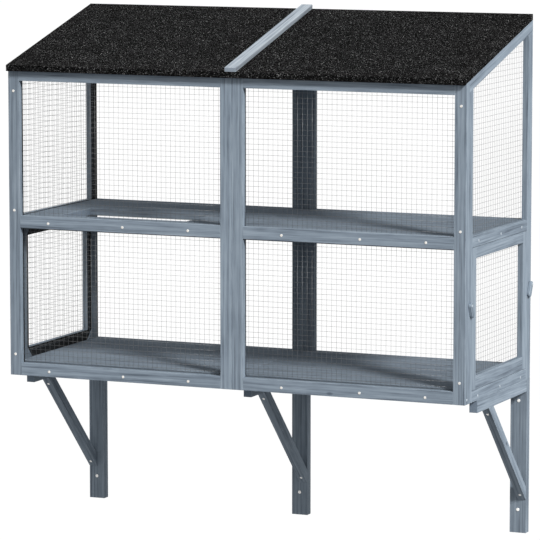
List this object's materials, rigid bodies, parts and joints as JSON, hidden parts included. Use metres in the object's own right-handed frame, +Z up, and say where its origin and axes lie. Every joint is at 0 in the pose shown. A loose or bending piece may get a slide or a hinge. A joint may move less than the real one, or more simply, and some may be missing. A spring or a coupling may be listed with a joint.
{
  "type": "wall-mounted cat enclosure",
  "caption": "Two-storey wooden cat run that hangs on a wall: pent felt roof, welded mesh on the front and ends, open back, lift-off end doors with turn buttons, strutted wall brackets.",
  "frame": {"origin": "on the wall, midway between the four outer wall-screw holes", "axes": "+X to the right seen from the front, +Y into the wall, +Z up"},
  "size_m": [1.2188, 0.473, 1.2936],
  "materials": {
    "painted_wood": "slate blue paint on sawn softwood",
    "galvanised_mesh": "galvanised",
    "roof_felt": "mineral granules on bitumen felt",
    "screw_steel": "pale plated"
  },
  "bodies": {
    "run": {"left_bay_left_stile": "painted_wood", "left_bay_right_stile": "painted_wood", "left_bottom_rail": "painted_wood", "left_middle_rail": "painted_wood", "left_top_rail": "painted_wood", "left_lower_mesh": "galvanised_mesh", "left_upper_mesh": "galvanised_mesh", "right_bay_left_stile": "painted_wood", "right_bay_right_stile": "painted_wood", "right_bottom_rail": "painted_wood", "right_middle_rail": "painted_wood", "right_top_rail": "painted_wood", "right_lower_mesh": "galvanised_mesh", "right_upper_mesh": "galvanised_mesh", "left_side_front_post": "painted_wood", "left_side_rear_post": "painted_wood", "left_side_rake": "painted_wood", "left_side_bottom_rail": "painted_wood", "left_side_middle_rail": "painted_wood", "left_side_mesh": "galvanised_mesh", "right_side_front_post": "painted_wood", "right_side_rear_post": "painted_wood", "right_side_rake": "painted_wood", "right_side_bottom_rail": "painted_wood", "right_side_middle_rail": "painted_wood", "right_side_mesh": "galvanised_mesh", "door_stops": "painted_wood", "rear_centre_post": "painted_wood", "rear_header": "painted_wood", "centre_rafter": "painted_wood", "floor_bearers": "painted_wood", "shelf_bearers": "painted_wood", "left_floor": "painted_wood", "left_shelf": "painted_wood", "left_roof_board": "painted_wood", "left_roof_felt": "roof_felt", "right_floor": "painted_wood", "right_shelf": "painted_wood", "right_roof_board": "painted_wood", "right_roof_felt": "roof_felt", "roof_batten": "painted_wood", "left_bracket_upright": "painted_wood", "middle_bracket_upright": "painted_wood", "right_bracket_upright": "painted_wood", "bracket_arms": "painted_wood", "bracket_struts": "painted_wood", "front_screws": "screw_steel", "side_screws": "screw_steel", "strut_screws": "screw_steel", "button_screws": "screw_steel"},
    "left_door": {"left_door_stiles": "painted_wood", "left_door_rails": "painted_wood", "left_door_mesh": "galvanised_mesh"},
    "left_front_button": {"left_front_button": "painted_wood"},
    "left_rear_button": {"left_rear_button": "painted_wood"},
    "right_door": {"right_door_stiles": "painted_wood", "right_door_rails": "painted_wood", "right_door_mesh": "galvanised_mesh"},
    "right_front_button": {"right_front_button": "painted_wood"},
    "right_rear_button": {"right_rear_button": "painted_wood"}
  },
  "joints": [
    {"name": "left_door_lift", "type": "slide", "parent": "run", "child": "left_door", "axis": [-1, 0, 0], "range_m": [0, 0.06]},
    {"name": "left_front_button_turn", "type": "hinge", "parent": "run", "child": "left_front_button", "pos_m": [-0.6003, -0.4352, 0.4255], "axis": [1, 0, 0], "range_deg": [-24, 156]},
    {"name": "left_rear_button_turn", "type": "hinge", "parent": "run", "child": "left_rear_button", "pos_m": [-0.6003, -0.0105, 0.4255], "axis": [-1, 0, 0], "range_deg": [-24, 156]},
    {"name": "right_door_lift", "type": "slide", "parent": "run", "child": "right_door", "axis": [1, 0, 0], "range_m": [0, 0.06]},
    {"name": "right_front_button_turn", "type": "hinge", "parent": "run", "child": "right_front_button", "pos_m": [0.6003, -0.4352, 0.4255], "axis": [1, 0, 0], "range_deg": [-24, 156]},
    {"name": "right_rear_button_turn", "type": "hinge", "parent": "run", "child": "right_rear_button", "pos_m": [0.6003, -0.0105, 0.4255], "axis": [-1, 0, 0], "range_deg": [-24, 156]}
  ]
}
